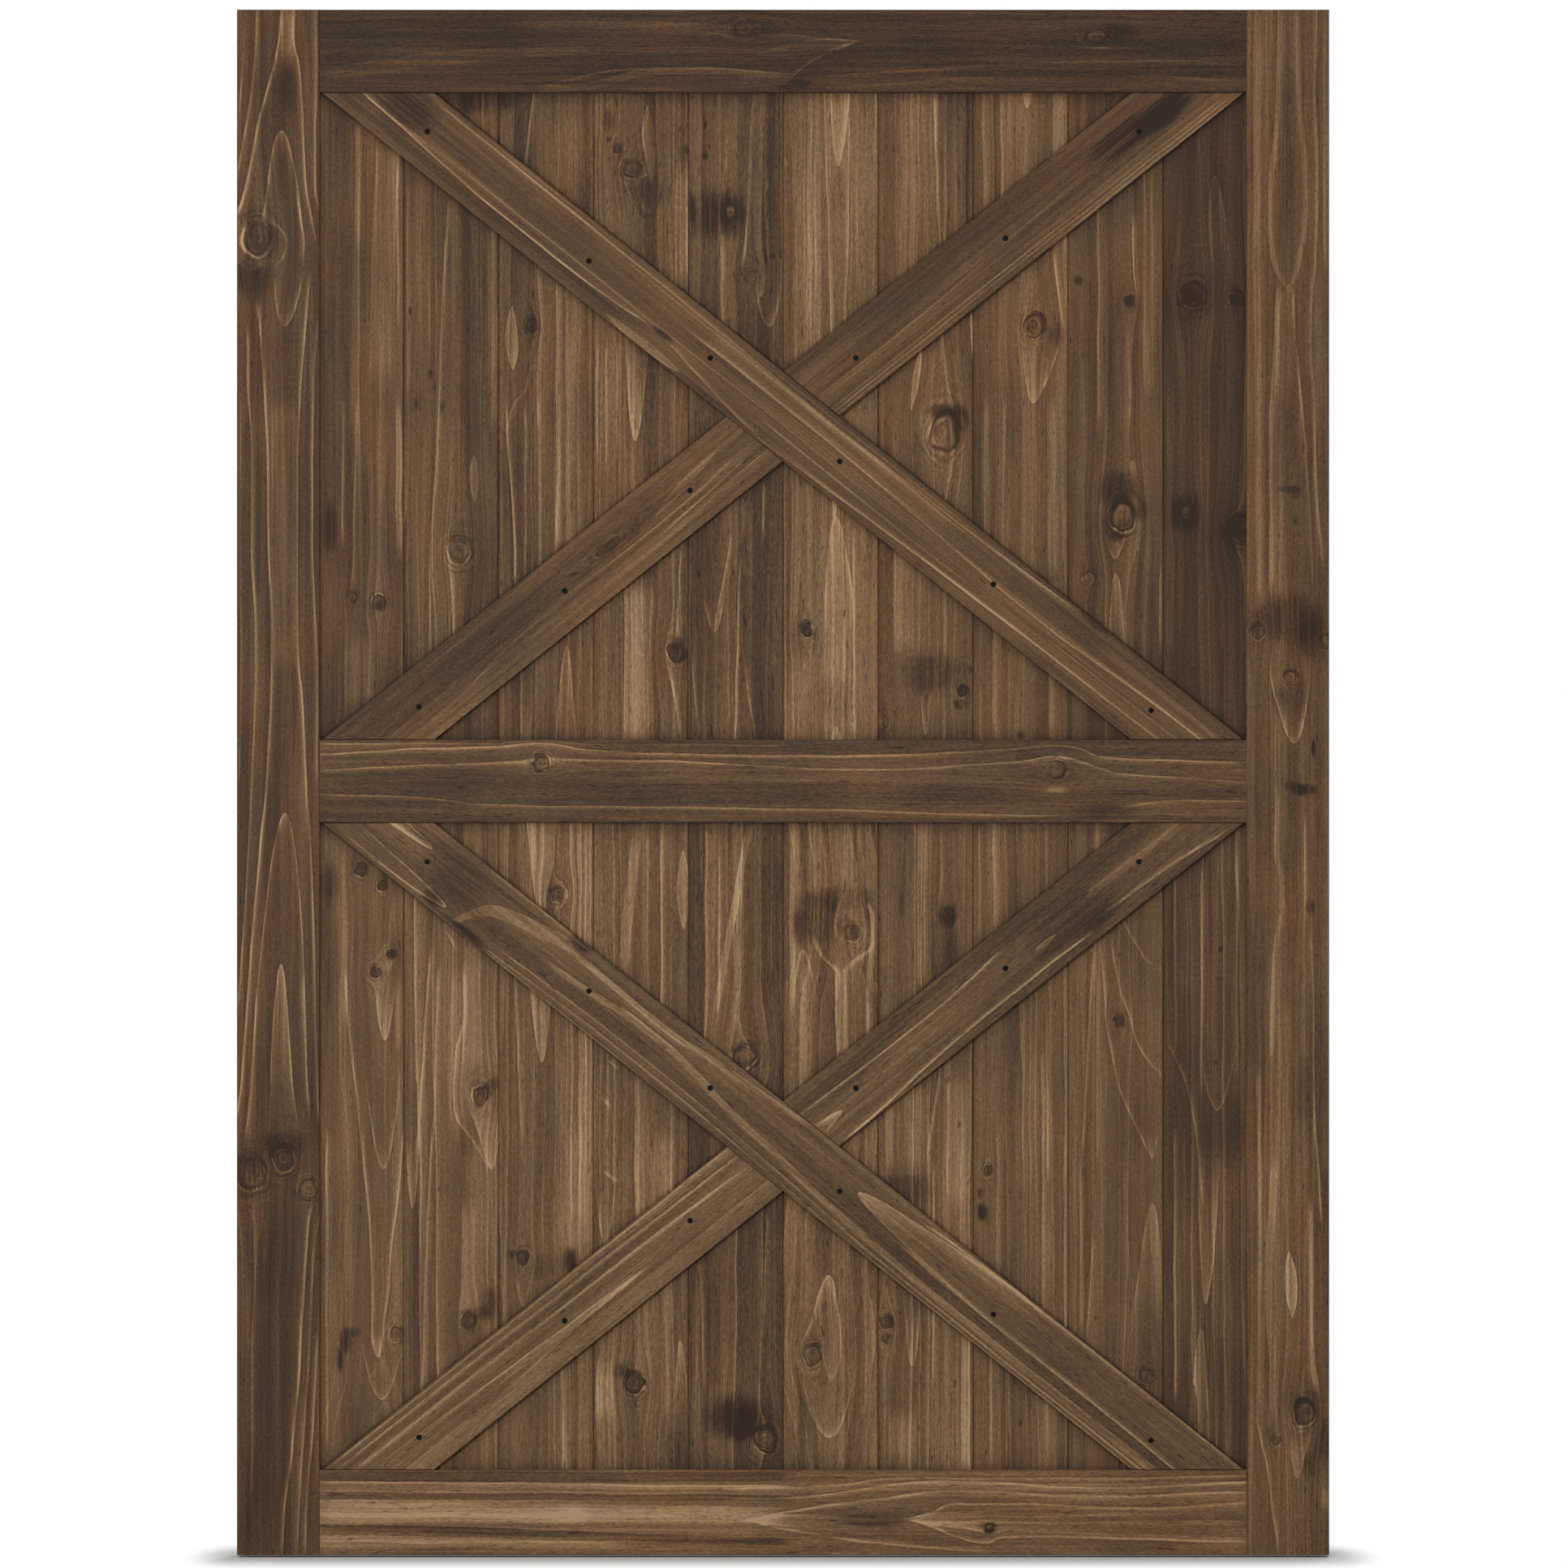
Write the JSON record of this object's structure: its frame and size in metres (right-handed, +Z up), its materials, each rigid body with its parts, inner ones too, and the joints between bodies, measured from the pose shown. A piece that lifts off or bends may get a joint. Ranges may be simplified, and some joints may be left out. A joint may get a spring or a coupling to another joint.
{
  "type": "barn door",
  "caption": "Framed barn door leaf: tongue-and-groove plank panels above and below a mid rail, each with an X of screwed braces on the front. It hangs by its top edge.",
  "frame": {"origin": "middle of the leaf's top edge, at mid thickness, where it hangs", "axes": "+Z up along the stiles, +X to the right seen from the front, -Y out of the braced front face"},
  "size_m": [1.508, 0.035, 2.1336],
  "materials": {
    "frame_wood": "dark brown stain, satin",
    "plank_wood": "dark brown stain, satin",
    "brace_wood": "dark brown stain, satin",
    "screw_black": "black oxide"
  },
  "bodies": {
    "root": {"left_stile": "frame_wood", "right_stile": "frame_wood", "top_rail": "frame_wood", "mid_rail": "frame_wood", "bottom_rail": "frame_wood", "upper_plank_01": "plank_wood", "upper_plank_02": "plank_wood", "upper_plank_03": "plank_wood", "upper_plank_04": "plank_wood", "upper_plank_05": "plank_wood", "upper_plank_06": "plank_wood", "upper_plank_07": "plank_wood", "upper_plank_08": "plank_wood", "upper_plank_09": "plank_wood", "upper_plank_10": "plank_wood", "lower_plank_01": "plank_wood", "lower_plank_02": "plank_wood", "lower_plank_03": "plank_wood", "lower_plank_04": "plank_wood", "lower_plank_05": "plank_wood", "lower_plank_06": "plank_wood", "lower_plank_07": "plank_wood", "lower_plank_08": "plank_wood", "lower_plank_09": "plank_wood", "lower_plank_10": "plank_wood", "upper_long_brace": "brace_wood", "upper_half_brace_left": "brace_wood", "upper_half_brace_right": "brace_wood", "lower_long_brace": "brace_wood", "lower_half_brace_left": "brace_wood", "lower_half_brace_right": "brace_wood"}
  },
  "joints": []
}
